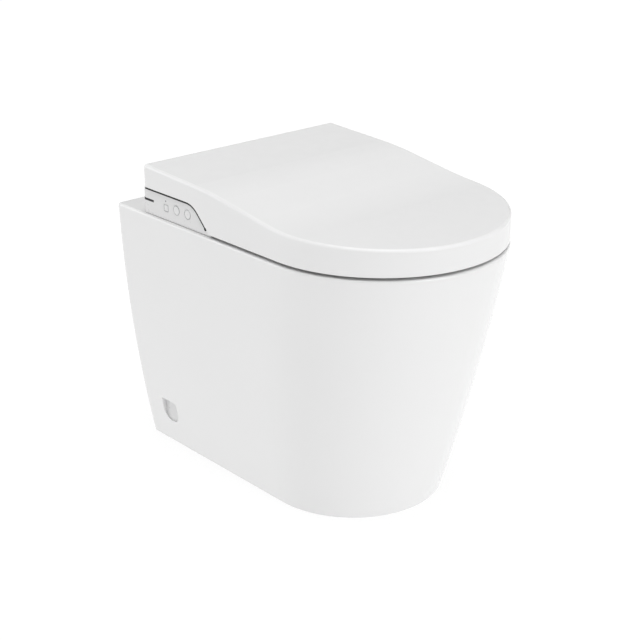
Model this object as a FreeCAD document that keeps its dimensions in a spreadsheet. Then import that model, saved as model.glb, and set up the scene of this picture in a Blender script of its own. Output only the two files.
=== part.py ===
import FreeCAD, Part
import Sketcher
import math
import os

# Smart toilet with heated seat: back-to-wall ceramic pan, seat-and-wash module on its rear deck,
# heated seat ring and soft-close lid.
# Millimetres. Origin on the floor below the middle of the bounding box.
# -Y is the front, +Y the wall side, +Z up; the control panel is on the -X side.

V = FreeCAD.Vector
C = Sketcher.Constraint

doc = FreeCAD.newDocument("toilet")
sheet = doc.addObject("Spreadsheet::Sheet", "Sheet")

SIZES = [
    # pan
    ("pan_half_width", 187.6), ("pan_front", -282.0), ("pan_back", 282.0), ("rim_height", 400.0),
    ("base_half_width", 139.6), ("base_front", -183.9), ("side_curve", 0.24), ("front_curve", 0.80),
    ("wall", 12.0), ("deck", 22.0), ("rim_round", 3.4), ("back_round", 6.0), ("bowl_round", 5.0),
    ("bowl_half_width", 140.0), ("bowl_half_length", 175.0), ("bowl_centre", -65.0),
    ("ledge", 9.5), ("ledge_drop", 27.0), ("collar", 9.6),
    ("trap_bore", 27.0), ("trap_wall", 10.0), ("sump_axis", 142.0), ("crest_axis", 242.0),
    ("outlet_axis", 183.0), ("outlet_radius", 51.0), ("outlet_bore", 43.0), ("outlet_end", 261.0),
    ("inlet_axis", 345.0), ("inlet_bore", 27.5), ("inlet_tube", 38.0), ("seal_bore", 22.5),
    ("deck_hole_pitch", 155.0), ("deck_hole_y", 150.0), ("deck_hole_radius", 7.0),
    ("side_hole_front", 197.5), ("side_hole_rear", 235.5), ("side_hole_low", 41.0), ("side_hole_top", 79.0),
    ("plumbing_half_width", 115.0), ("plumbing_top", 250.0),
    # hinge
    ("hinge_y", 195.0), ("hinge_z", 459.0), ("shaft_radius", 4.0), ("running_gap", 0.05),
    # lid
    ("lid_half_width", 186.5), ("lid_front", -281.0), ("lid_back", 210.5), ("lid_skin", 2.3), ("lid_corner", 5.0), ("lid_low", 404.7),
    ("lid_rear_height", 475.7), ("lid_break_rear_y", 55.0), ("lid_break_rear_z", 468.7),
    ("lid_break_front_y", -90.0), ("lid_break_front_z", 447.1), ("lid_front_height", 441.6),
    ("lid_bend", 620.0), ("lid_edge_round", 4.6), ("lid_wall_low", 454.0),
    # trim line of the side panels
    ("trim_height", 439.9), ("trim_half", 1.3), ("trim_arc", 35.0), ("trim_bend_y", 106.5), ("trim_drop", 29.5),
    ("trim_proud", 0.05), ("trim_back", 208.2), ("trim_end", 2.5), ("panel_half_width", 183.7), ("panel_back", 213.2), ("panel_low", 400.2),
    ("panel_inner", 179.2),
    # seat
    ("seat_half_width", 177.0), ("seat_front", -273.5), ("seat_back", 96.0), ("seat_low", 404.0), ("seat_top", 428.0),
    ("seat_hole_half_width", 105.0), ("seat_hole_half_length", 140.0), ("seat_hole_centre", -75.0),
    ("seat_skin", 3.2), ("seat_round", 8.0), ("notch_half_width", 62.0), ("notch_top", 420.5),
    # module
    ("module_front", 99.0), ("module_rear", 211.0), ("module_low", 402.5), ("hump_half_width", 146.0),
    ("hump_top", 463.5), ("shelf_top", 436.5), ("barrel_radius", 12.0), ("cover_skin", 2.5), ("chassis_half_width", 179.0),
    # wash wand and its drive
    ("wand_angle", 26.0), ("wand_tip_z", 412.5), ("wand_length", 87.0), ("wand_half_width", 7.0),
    ("gear_module", 0.8), ("pinion_teeth", 14), ("pinion_place", 18.0),
    # buttons
    ("button_rear_y", 159.5), ("button_middle_y", 134.3), ("button_front_y", 107.8), ("button_z", 421.3), ("button_low_z", 419.0),
    ("button_radius", 7.4), ("button_half", 5.4), ("button_gap", 0.35),
    # dryer
    ("fan_y", 150.0), ("fan_z", 434.0), ("fan_radius", 21.0), ("fan_blades", 18),
]


class Q:
    """A length: its value and the sheet expression that it is bound with."""

    def __init__(self, value, text):
        self.value = float(value)
        self.text = text

    def __add__(self, o):
        o = q(o)
        return Q(self.value + o.value, "(%s + %s)" % (self.text, o.text))

    def __radd__(self, o):
        return q(o) + self

    def __sub__(self, o):
        o = q(o)
        return Q(self.value - o.value, "(%s - %s)" % (self.text, o.text))

    def __rsub__(self, o):
        return q(o) - self

    def __mul__(self, o):
        o = q(o)
        return Q(self.value * o.value, "(%s * %s)" % (self.text, o.text))

    def __rmul__(self, o):
        return q(o) * self

    def __truediv__(self, o):
        o = q(o)
        return Q(self.value / o.value, "(%s / %s)" % (self.text, o.text))

    def __neg__(self):
        return Q(-self.value, "(0 - %s)" % self.text)


def q(o):
    if isinstance(o, Q):
        return o
    return Q(o, "(%.6f)" % o if o >= 0 else "(0 - %.6f)" % -o)


VALUE = {}
for row, (name, value) in enumerate(SIZES, start=1):
    sheet.set("A%d" % row, name)
    sheet.set("B%d" % row, str(value))
    sheet.setAlias("B%d" % row, name)
    VALUE[name] = float(value)
doc.recompute()


def S(name):
    return Q(VALUE[name], "Sheet." + name)


def num(o):
    return o.value if isinstance(o, Q) else float(o)


def bind(obj, prop, o):
    if isinstance(o, Q):
        obj.setExpression(prop, o.text)


# ---------------------------------------------------------------- sketch helpers
counter = [0]


def fresh(stem):
    counter[0] += 1
    return "%s_%03d" % (stem, counter[0])


def new_body(label, name=None):
    b = doc.addObject("PartDesign::Body", name or ("b_" + label))
    b.Label = label
    return b


def sketch(b, role, off=0.0):
    """A sketch on one of the body's own origin planes. off is the plane's place along X, Y or Z."""
    s = b.newObject("Sketcher::SketchObject", fresh("sketch"))
    plane = [o for o in b.Origin.OriginFeatures if o.Role == role + "_Plane"][0]
    s.AttachmentSupport = [(plane, "")]
    s.MapMode = "FlatFace"
    if role == "XZ":
        off = -q(off) if isinstance(off, Q) else -off
    s.AttachmentOffset = FreeCAD.Placement(V(0, 0, num(off)), FreeCAD.Rotation())
    bind(s, "AttachmentOffset.Base.z", off)
    return s


def dim(s, kind, geo, pos, o):
    k = s.addConstraint(C(kind, -1, 1, geo, pos, num(o)))
    if isinstance(o, Q):
        s.setExpression("Constraints[%d]" % k, o.text)


def place(s, geo, pos, u, w):
    dim(s, "DistanceX", geo, pos, u)
    dim(s, "DistanceY", geo, pos, w)


def chain(s, pts, closed=True):
    """Straight runs through pts (u, v[, radius]); a corner with a radius is a tangent arc."""
    n = len(pts)
    P = [V(num(p[0]), num(p[1]), 0) for p in pts]
    R = [p[2] if len(p) > 2 else 0 for p in pts]
    corner = []
    for i in range(n):
        r = num(R[i])
        if r <= 0 or (not closed and i in (0, n - 1)):
            corner.append((P[i], P[i], None))
            continue
        a, b_ = P[i - 1], P[(i + 1) % n]
        d0 = (P[i] - a).normalize()
        d1 = (b_ - P[i]).normalize()
        cr = d0.x * d1.y - d0.y * d1.x
        th = math.atan2(cr, d0.dot(d1))
        T = r * math.tan(abs(th) / 2)
        t0, t1 = P[i] - d0 * T, P[i] + d1 * T
        sg = 1 if th > 0 else -1
        c = t0 + V(-d0.y, d0.x, 0) * (sg * r)
        corner.append((t0, t1, (c, r, sg)))
    lines = []
    count = n if closed else n - 1
    for i in range(count):
        j = (i + 1) % n
        lines.append(s.addGeometry(Part.LineSegment(corner[i][1], corner[j][0]), False))
    for i in range(n):
        arc = corner[i][2]
        first = lines[i] if i < count else None
        last = lines[i - 1] if (closed or i > 0) else None
        if arc is None:
            if first is not None and last is not None:
                s.addConstraint(C("Coincident", last, 2, first, 1))
            geo, pos = (first, 1) if first is not None else (last, 2)
            place(s, geo, pos, pts[i][0], pts[i][1])
        else:
            c, r, sg = arc
            t0, t1 = corner[i][0], corner[i][1]
            a0 = math.atan2(t0.y - c.y, t0.x - c.x)
            a1 = math.atan2(t1.y - c.y, t1.x - c.x)
            if sg < 0:
                a0, a1 = a1, a0
            if a1 < a0:
                a1 += 2 * math.pi
            g = s.addGeometry(Part.ArcOfCircle(Part.Circle(c, V(0, 0, 1), r), a0, a1), False)
            s.addConstraint(C("Tangent", last, 2, g, 1 if sg > 0 else 2))
            s.addConstraint(C("Tangent", g, 2 if sg > 0 else 1, first, 1))
            pt = s.addGeometry(Part.Point(P[i]), True)
            place(s, pt, 1, pts[i][0], pts[i][1])
            s.addConstraint(C("PointOnObject", pt, 1, last))
            s.addConstraint(C("PointOnObject", pt, 1, first))
            k = s.addConstraint(C("Radius", g, r))
            if isinstance(R[i], Q):
                s.setExpression("Constraints[%d]" % k, R[i].text)
    return s


def dee(s, hw, front, back):
    """D-shaped outline: straight back and sides, half-round front."""
    yc = front + hw
    a, c, bk = num(hw), num(yc), num(back)
    rear = s.addGeometry(Part.LineSegment(V(a, bk, 0), V(-a, bk, 0)), False)
    left = s.addGeometry(Part.LineSegment(V(-a, bk, 0), V(-a, c, 0)), False)
    arc = s.addGeometry(Part.ArcOfCircle(Part.Circle(V(0, c, 0), V(0, 0, 1), a), math.pi, 2 * math.pi), False)
    right = s.addGeometry(Part.LineSegment(V(a, c, 0), V(a, bk, 0)), False)
    s.addConstraint([C("Coincident", rear, 2, left, 1), C("Coincident", left, 2, arc, 1),
                     C("Coincident", arc, 2, right, 1), C("Coincident", right, 2, rear, 1)])
    place(s, rear, 1, hw, back)
    place(s, rear, 2, -q(hw), back)
    place(s, left, 2, -q(hw), yc)
    place(s, right, 1, hw, yc)
    dim(s, "DistanceY", arc, 3, yc)
    return s


def ellipse(s, cx, cy, rx, ry):
    a, b_ = num(rx), num(ry)
    x, y = num(cx), num(cy)
    if b_ > a:
        e = Part.Ellipse(V(x, y - b_, 0), V(x + a, y, 0), V(x, y, 0))
    else:
        e = Part.Ellipse(V(x + a, y, 0), V(x, y - b_, 0), V(x, y, 0))
    g = s.addGeometry(e, False)
    s.exposeInternalGeometry(g)
    place(s, g, 3, cx, cy)
    for i in range(g + 1, s.GeometryCount):
        gg = s.Geometry[i]
        if not isinstance(gg, Part.LineSegment):
            continue
        upright = abs(gg.StartPoint.x - gg.EndPoint.x) < abs(gg.StartPoint.y - gg.EndPoint.y)
        if upright:
            s.addConstraint(C("Vertical", i))
            low = 1 if gg.StartPoint.y < gg.EndPoint.y else 2
            dim(s, "DistanceY", i, low, q(cy) - ry)
        else:
            high = 1 if gg.StartPoint.x > gg.EndPoint.x else 2
            dim(s, "DistanceX", i, high, q(cx) + rx)
    return s


def circle(s, cx, cy, r):
    g = s.addGeometry(Part.Circle(V(num(cx), num(cy), 0), V(0, 0, 1), num(r)), False)
    place(s, g, 3, cx, cy)
    k = s.addConstraint(C("Radius", g, num(r)))
    if isinstance(r, Q):
        s.setExpression("Constraints[%d]" % k, r.text)
    return s


def rect(s, u0, u1, w0, w1):
    return chain(s, [(u0, w0), (u1, w0), (u1, w1), (u0, w1)])


# ---------------------------------------------------------------- feature helpers
def pad(b, s, length, mid=False, rev=False):
    f = b.newObject("PartDesign::Pad", fresh("pad"))
    f.Profile = s
    f.Length = num(length)
    bind(f, "Length", length)
    if mid:
        f.SideType = "Symmetric"
    f.Reversed = rev
    doc.recompute()
    return f


def pocket(b, s, length=None, mid=False, rev=False):
    before = b.Tip.Shape.Volume
    f = b.newObject("PartDesign::Pocket", fresh("pocket"))
    f.Profile = s
    if length is None:
        f.Type = "ThroughAll"
    else:
        f.Length = num(length)
        bind(f, "Length", length)
    if mid:
        f.SideType = "Symmetric"
    f.Reversed = rev
    doc.recompute()
    if not f.Shape.Volume < before - 0.2:
        raise RuntimeError("%s in %s cuts nothing" % (f.Name, b.Label))
    return f


def loft(b, sections, subtract=False):
    f = b.newObject("PartDesign::SubtractiveLoft" if subtract else "PartDesign::AdditiveLoft", fresh("loft"))
    f.Profile = sections[0]
    f.Sections = sections[1:]
    f.Ruled = False
    doc.recompute()
    return f


def pipe(b, profile, spine, subtract=False):
    doc.recompute()
    f = b.newObject("PartDesign::SubtractivePipe" if subtract else "PartDesign::AdditivePipe", fresh("pipe"))
    f.Profile = profile
    f.Spine = (spine, ["Edge%d" % (i + 1) for i in range(len(spine.Shape.Edges))])
    doc.recompute()
    return f


def fillet(b, radius, choose):
    """Rounds the edges of the body's last feature for which choose(edge) holds."""
    base = b.Tip
    names = ["Edge%d" % (i + 1) for i, e in enumerate(base.Shape.Edges) if choose(e)]
    if not names:
        raise RuntimeError("no edge to round in " + b.Label)
    f = b.newObject("PartDesign::Fillet", fresh("fillet"))
    f.Base = (base, names)
    f.Radius = num(radius)
    bind(f, "Radius", radius)
    doc.recompute()
    return f


def box(label, x0, x1, y0, y1, z0, z1):
    o = doc.addObject("Part::Box", fresh("box"))
    o.Label = label
    for prop, lo, hi in (("Length", x0, x1), ("Width", y0, y1), ("Height", z0, z1)):
        size = q(hi) - lo if isinstance(lo, Q) or isinstance(hi, Q) else hi - lo
        setattr(o, prop, num(size))
        bind(o, prop, size)
    o.Placement = FreeCAD.Placement(V(num(x0), num(y0), num(z0)), FreeCAD.Rotation())
    for ax, v in (("x", x0), ("y", y0), ("z", z0)):
        bind(o, "Placement.Base." + ax, v)
    return o


TURN = {"X": FreeCAD.Rotation(V(0, 1, 0), 90), "Y": FreeCAD.Rotation(V(1, 0, 0), -90), "Z": FreeCAD.Rotation()}


def cyl(label, axis, x, y, z, r, length):
    """A cylinder that starts at (x, y, z) and runs along +axis."""
    o = doc.addObject("Part::Cylinder", fresh("cyl"))
    o.Label = label
    o.Radius = num(r)
    o.Height = num(length)
    bind(o, "Radius", r)
    bind(o, "Height", length)
    o.Placement = FreeCAD.Placement(V(num(x), num(y), num(z)), TURN[axis])
    for ax, v in (("x", x), ("y", y), ("z", z)):
        bind(o, "Placement.Base." + ax, v)
    return o


def fuse(label, *shapes):
    o = doc.addObject("Part::MultiFuse", fresh("fuse"))
    o.Label = label
    o.Shapes = list(shapes)
    return o


def cut(label, base, *tools):
    o = doc.addObject("Part::Cut", fresh("cut"))
    o.Label = label
    o.Base = base
    o.Tool = tools[0] if len(tools) == 1 else fuse(fresh("tool"), *tools)
    return o


def common(label, a, b_):
    o = doc.addObject("Part::Common", fresh("common"))
    o.Label = label
    o.Base = a
    o.Tool = b_
    return o


def group(label, *shapes):
    """Separate like pieces in one node."""
    o = doc.addObject("Part::Compound", fresh("group"))
    o.Label = label
    o.Links = list(shapes)
    return o


nodes = []


def node(o, name=None):
    if name:
        o.Label = name
    nodes.append(o)
    return o


t = "tool"

# ---------------------------------------------------------------- ceramic pan
H = S("rim_height")
hw, bhw = S("pan_half_width"), S("base_half_width")
pf, bf = S("pan_front"), S("base_front")
ks, kf = S("side_curve"), S("front_curve")
wall = S("wall")


def pan_section(b, z, s_, inset, back):
    """Plan outline of the pan's outside at height z, drawn in by inset. s_ is 0 at the rim and 1 at the floor."""
    gs = ks * s_ + (1 - ks) * (s_ * s_)
    gf = kf * s_ + (1 - kf) * (s_ * s_)
    a = hw - (hw - bhw) * gs
    y = pf - (pf - bf) * gf
    sk = sketch(b, "XY", z)
    if inset is None:
        return dee(sk, a, y, back)
    return dee(sk, a - inset, y + inset, back)


pan = new_body("pan_body")
outer = [pan_section(pan, H * (i / 5.0), q(1 - i / 5.0), None, S("pan_back") + 6) for i in range(6)]
loft(pan, outer)
pocket(pan, rect(sketch(pan, "XZ", S("pan_back")), -260.0, 260.0, -20.0, 430.0), 20.0)    # flat wall side
under_top = H - S("deck")
inner = []
for i in range(5):
    z = under_top * (i / 4.0)
    inner.append(pan_section(pan, z, 1 - z / H, wall, S("pan_back") - wall))
loft(pan, inner, subtract=True)

# collar below the deck, and the opening of the bowl in it
bc, bw, bl = S("bowl_centre"), S("bowl_half_width"), S("bowl_half_length")
cl, drop = S("collar"), S("ledge_drop")
pad(pan, ellipse(sketch(pan, "XY", H - drop), 0.0, bc, bw + cl, bl + cl), drop - S("deck") + 1)
pocket(pan, ellipse(sketch(pan, "XY", H), 0.0, bc, bw, bl), drop)

# bowl: rimless ledge below the collar, then down to the sump. Its outside first, as a solid form
bowl_form = new_body("bowl_form")


def ring_section(b, z, cy, rx, ry):
    return ellipse(sketch(b, "XY", z), 0.0, cy, rx, ry)


def bowl_outside(b):
    return loft(b, [ring_section(b, H - drop, bc, bw + cl, bl + cl), ring_section(b, H - 60, bc + 3, bw + 3, bl + 1),
                    ring_section(b, H - 120, bc + 15, bw - 17, bl - 29), ring_section(b, H - 170, bc + 35, bw - 44, bl - 69),
                    ring_section(b, H - 210, bc + 57, bw - 69, bl - 98), ring_section(b, H - 250, bc + 77, bw - 86, bl - 117),
                    ring_section(b, H - 296, bc + 86, bw - 96, bl - 129)])


bowl_outside(bowl_form)
tr, tw = S("trap_bore"), S("trap_wall")
start_y = 12.0


def trap_spine(b, end):
    s = sketch(b, "YZ", 0.0)
    chain(s, [(start_y, S("sump_axis")), (72.0, S("sump_axis"), 42.0), (128.0, S("crest_axis"), 38.0),
              (186.0, S("outlet_axis"), 40.0), (end, S("outlet_axis"))], closed=False)
    return s


bowl = new_body("ceramic_bowl")
bowl_outside(bowl)
lg = S("ledge")
hollow = [ring_section(bowl, H - drop + 1, bc, bw - lg, bl - lg), ring_section(bowl, H - 60, bc + 3, bw - 14, bl - 17),
          ring_section(bowl, H - 120, bc + 15, bw - 31, bl - 44), ring_section(bowl, H - 170, bc + 35, bw - 56, bl - 81),
          ring_section(bowl, H - 210, bc + 57, bw - 80, bl - 110), ring_section(bowl, H - 250, bc + 77, bw - 98, bl - 130),
          ring_section(bowl, H - 284, bc + 86, bw - 108, bl - 142)]
loft(bowl, hollow, subtract=True)
pipe(bowl, circle(sketch(bowl, "XZ", start_y), 0.0, S("sump_axis"), tr), trap_spine(bowl, S("outlet_end")), subtract=True)
pocket(bowl, circle(sketch(bowl, "XZ", 130.0), 0.0, S("inlet_axis"), S("inlet_bore")), 53.0, rev=True)
node(bowl)

# trapway and waste spigot
trap = new_body("trapway_form")
pipe(trap, circle(sketch(trap, "XZ", start_y), 0.0, S("sump_axis"), tr + tw), trap_spine(trap, S("outlet_end")))
pad(trap, circle(sketch(trap, "XZ", S("outlet_end")), 0.0, S("outlet_axis"), S("outlet_radius")), 62.0)
pipe(trap, circle(sketch(trap, "XZ", start_y), 0.0, S("sump_axis"), tr), trap_spine(trap, S("outlet_end")), subtract=True)
pocket(trap, circle(sketch(trap, "XZ", S("outlet_end")), 0.0, S("outlet_axis"), S("outlet_bore")), 38.0, rev=True)
node(cut("ceramic_trapway", trap, bowl_form))

# flush channel: the middle of the wall side above the plumbing opening, with the inlet tube to the bowl
ph, pt = S("plumbing_half_width"), S("plumbing_top")
inlet = new_body("inlet_form")
pad(inlet, rect(sketch(inlet, "XZ", S("pan_back")), -ph, ph, pt, H - S("deck")), wall)
pad(inlet, circle(sketch(inlet, "XZ", S("pan_back")), 0.0, S("inlet_axis"), S("inlet_tube")), 172.0)
pocket(inlet, circle(sketch(inlet, "XZ", S("pan_back")), 0.0, S("inlet_axis"), S("inlet_bore")), 200.0, rev=True)
node(cut("ceramic_flush_channel", inlet, bowl_form, box(t, -60.0, 60.0, 100.0, 290.0, H - S("deck"), 400.0),
         box(t, -60.0, 60.0, 100.0, 119.9, H - drop, 400.0)))

# holes: module bolts, side fixing holes (both sides), plumbing opening at the back
bolts_x = S("deck_hole_pitch") / 2
holes = sketch(pan, "XY", H)
circle(holes, bolts_x, S("deck_hole_y"), S("deck_hole_radius"))
circle(holes, -bolts_x, S("deck_hole_y"), S("deck_hole_radius"))
pocket(pan, holes, 30.0)
hf, hr, hl, ht = S("side_hole_front"), S("side_hole_rear"), S("side_hole_low"), S("side_hole_top")
side = chain(sketch(pan, "YZ", 0.0), [(hf, ht, 4.0), (hr, ht, 4.0), (hr, hl, 17.5), (hf, hl, 17.5)])
pocket(pan, side, None, mid=True)
back = chain(sketch(pan, "XZ", S("pan_back")), [(-ph, -1.0), (ph, -1.0), (ph, pt, 22.0), (-ph, pt, 22.0)])
pocket(pan, back, wall + 6, rev=True)


def rim_edge(e):
    bb = e.BoundBox
    if bb.ZMax - bb.ZMin > 0.5 or abs(bb.ZMax - VALUE["rim_height"]) > 0.5:
        return False
    m = e.valueAt((e.FirstParameter + e.LastParameter) / 2)
    if m.y > VALUE["pan_back"] - 1:
        return True
    r = math.hypot(m.x, m.y - (VALUE["pan_front"] + VALUE["pan_half_width"]))
    return abs(abs(m.x) - VALUE["pan_half_width"]) < 1 or abs(r - VALUE["pan_half_width"]) < 1 and m.y < -90


def bowl_edge(e):
    bb = e.BoundBox
    return (bb.ZMax - bb.ZMin < 0.5 and abs(bb.ZMax - VALUE["rim_height"]) < 0.5
            and bb.XMax - bb.XMin > 200 and not rim_edge(e) and bb.YMax < 150)


def back_upright(e):
    bb = e.BoundBox
    return bb.ZMax - bb.ZMin > 380 and bb.YMin > 275


fillet(pan, S("back_round"), back_upright)
fillet(pan, S("rim_round"), rim_edge)
fillet(pan, S("bowl_round"), bowl_edge)
node(cut("ceramic_pan", pan, box(t, -ph, ph, S("pan_back") - wall - 1, 300.0, pt, H - S("deck"))))

# lip seal in the flush inlet
seal = new_body("flush_inlet_seal")
s = sketch(seal, "XZ", S("pan_back"))
circle(s, 0.0, S("inlet_axis"), S("inlet_bore"))
circle(s, 0.0, S("inlet_axis"), S("seal_bore"))
pad(seal, s, 26.0)
node(seal)

# ---------------------------------------------------------------- floor brackets and side fixings
fix_y, fix_z = (hf + hr) / 2, q(61.0)
for tag, sg in (("right", -1), ("left", 1)):
    b = new_body("floor_bracket_" + tag)
    s = sketch(b, "XZ", 190.0)
    xs = [(70.0, 0.0), (124.0, 0.0), (124.0, 78.0), (118.0, 78.0), (118.0, 5.0, 3.0), (70.0, 5.0)]
    chain(s, [(sg * p[0],) + p[1:] for p in xs])
    pad(b, s, 52.0, rev=True)
    s = sketch(b, "XY", 5.0)
    circle(s, sg * 94.0, fix_y, 4.5)
    pocket(b, s, 10.0)
    s = sketch(b, "YZ", sg * 121.0)
    circle(s, fix_y, fix_z, 4.05)
    pocket(b, s, 16.0, mid=True)
    node(b)

# a sleeve, a screw and a cap in each side hole
bushes, screws, caps = [], [], []
for sg in (-1, 1):
    def along(lo, hi, r):
        """A round length on the fixing axis between |x| = lo and hi."""
        return cyl(t, "X", lo if sg > 0 else -hi, fix_y, fix_z, r, hi - lo)
    bushes.append(cut(t, along(124.1, 141.5, 11.0), along(123.0, 143.0, 4.6)))
    screws.append(fuse(t, along(141.6, 144.0, 7.0), along(108.0, 141.6, 4.0)))
    b = new_body(fresh("cap"))
    s = chain(sketch(b, "YZ", sg * 144.1), [(hf + 0.3, ht - 0.3, 3.7), (hr - 0.3, ht - 0.3, 3.7), (hr - 0.3, hl + 0.3, 17.2), (hf + 0.3, hl + 0.3, 17.2)])
    pad(b, s, 2.0, rev=(sg < 0))
    caps.append(b)
node(group("side_fixing_bushes", *bushes))
node(group("side_fixing_screws", *screws))
node(group("side_hole_caps", *caps))

# ---------------------------------------------------------------- what carries the module
by = S("deck_hole_y")
plate = new_body("mounting_plate")
s = sketch(plate, "XY", H)
rect(s, -110.0, 110.0, 124.0, 196.0)
circle(s, bolts_x, by, 4.3)
circle(s, -bolts_x, by, 4.3)
pad(plate, s, 2.5)
node(plate)
node(group("plate_bolts", *[fuse(t, cyl(t, "Z", sg * bolts_x, by, H + 2.5, 7.0, 4.0), cyl(t, "Z", sg * bolts_x, by, H - 52, 3.95, 54.5))
                            for sg in (1, -1)]))
node(group("plate_washers", *[cut(t, cyl(t, "Z", sg * bolts_x, by, H - 26, 15.0, 4.0), cyl(t, "Z", sg * bolts_x, by, H - 27, 4.3, 6.0))
                              for sg in (1, -1)]))
node(group("plate_nuts", *[cut(t, cyl(t, "Z", sg * bolts_x, by, H - 38, 11.0, 12.0), cyl(t, "Z", sg * bolts_x, by, H - 39, 4.0, 14.0))
                           for sg in (1, -1)]))

# ---------------------------------------------------------------- module chassis and cover
mf, mr, ml = S("module_front"), S("module_rear"), S("module_low")
cw, sk_ = S("chassis_half_width"), S("cover_skin")
st = S("shelf_top")
floor_top = ml + 2.5
chassis = new_body("module_chassis")
pad(chassis, rect(sketch(chassis, "XY", ml), -cw, cw, mf, mr), st - 2.5 - ml)
pocket(chassis, rect(sketch(chassis, "XY", st - 2.5), -(cw - 2.5), cw - 2.5, mf - 1, mr - 2.5), st - 2.5 - floor_top)
s = sketch(chassis, "XY", ml)
circle(s, bolts_x, by, 9.0)
circle(s, -bolts_x, by, 9.0)
pocket(chassis, s, 4.0, rev=True)
s = rect(sketch(chassis, "YZ", -cw), 91.0, 172.0, 409.5, 440.0)     # window behind the buttons
pocket(chassis, s, 4.0, rev=True)
s = rect(sketch(chassis, "YZ", 0.0), 98.0, 101.8, floor_top, 440.0)  # the sides stop behind the cover's front
pocket(chassis, s, None, mid=True)
s = sketch(chassis, "XZ", mr)                                        # water and power entries
circle(s, 95.0, 418.0, 10.5)
circle(s, -95.0, 418.0, 7.0)
pocket(chassis, s, 6.0, rev=True)
SCREWS = [(166.0, 118.0), (-166.0, 118.0), (166.0, 190.0), (-166.0, 190.0)]
s = sketch(chassis, "XY", floor_top)
for x, y in SCREWS:
    circle(s, x, y, 4.0)
pad(chassis, s, st - 2.5 - floor_top)
s = sketch(chassis, "XY", st - 2.5)
for x, y in SCREWS:
    circle(s, x, y, 1.5)
pocket(chassis, s, 12.0)
node(chassis)

hy, hz, br = S("hinge_y"), S("hinge_z"), S("barrel_radius")
hh, htop = S("hump_half_width"), S("hump_top")
cover = new_body("module_cover")
pad(cover, chain(sketch(cover, "YZ", 0.0),
                 [(mf, floor_top), (mf, st, 4.0), (mr, st), (mr, st - 2.5), (mf + 2.5, st - 2.5), (mf + 2.5, floor_top)]),
    cw * 2, mid=True)
pad(cover, chain(sketch(cover, "YZ", 0.0),
                 [(mf, floor_top), (mf, htop, 11.0), (188.0, htop), (188.0, 455.0), (183.0, 451.0), (183.0, st - 2.5),
                  (mf + 2.5, st - 2.5), (mf + 2.5, floor_top)]), hh * 2, mid=True)
pad(cover, circle(sketch(cover, "YZ", 0.0), hy, hz, br), hh * 2, mid=True)
hi = hh - 3.5
pocket(cover, chain(sketch(cover, "YZ", 0.0),
                    [(mf + 2.5, 405.0), (mf + 2.5, htop - 2.5, 8.5), (188.0, htop - 2.5), (188.0, 458.0), (180.5, 453.0), (180.5, 405.0)]),
       hi * 2, mid=True)
pocket(cover, circle(sketch(cover, "YZ", 0.0), hy, hz, br - 2.4), hi * 2, mid=True)
s = circle(sketch(cover, "YZ", 0.0), hy, hz, 5.2)                    # shaft holes in the barrel's ends
pocket(cover, s, None, mid=True)
s = rect(sketch(cover, "XZ", mf - 1), -14.5, 14.5, 400.0, S("notch_top"))   # wand outlet
pocket(cover, s, 6.0)
s = rect(sketch(cover, "XZ", mf - 1), -56.0, -26.0, 406.0, 419.4)           # dryer outlet
pocket(cover, s, 4.5)
s = circle(sketch(cover, "YZ", -24.5), 100.2, 417.9, 0.75)                  # seats of the flap's pin
pocket(cover, s, 33.0)


s = sketch(cover, "XY", st)
for x, y in SCREWS:
    circle(s, x, y, 1.6)
pocket(cover, s, 6.0)
s = rect(sketch(cover, "XZ", mf - 1), -(cw + 1), -(cw - 2.4), 412.0, 433.0)  # room behind the front button
pocket(cover, s, 6.0)
node(cover)
node(group("cover_screws", *[fuse(t, cyl(t, "Z", x, y, st, 3.0, 1.8), cyl(t, "Z", x, y, st - 12.0, 1.45, 12.0)) for x, y in SCREWS]))

# ---------------------------------------------------------------- side panels and dark trim line
th, tv, ta = S("trim_half"), S("trim_height"), S("trim_arc")
tb, td = S("trim_bend_y"), S("trim_drop")
K = math.tan(math.radians(22.5))
# centre line of the trim: level run, quarter-turn to 45 degrees, straight run down to the foot
corner_y = tb - ta * K


def offset_line(o):
    """Corner and foot of the trim's centre line, moved up and forwards by o. Its bend keeps one centre."""
    return (corner_y - o * K, tv + o, ta + o), (corner_y - o * K - td, tv + o - td)


panel_back, panel_low = S("panel_back"), S("panel_low")
bz, bzl, bh, brad, bg = S("button_z"), S("button_low_z"), S("button_half"), S("button_radius"), S("button_gap")
BUTTONS = [S("button_rear_y"), S("button_middle_y"), S("button_front_y")]


def button_outline(s, k, grow):
    """The rear button is a rounded square, the other two are round."""
    if k == 0:
        h = bh + grow
        return chain(s, [(BUTTONS[0] - h, bzl - h, 1.6), (BUTTONS[0] + h, bzl - h, 1.6),
                         (BUTTONS[0] + h, bzl + h, 1.6), (BUTTONS[0] - h, bzl + h, 1.6)])
    return circle(s, BUTTONS[k], bz, brad + grow)


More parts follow.
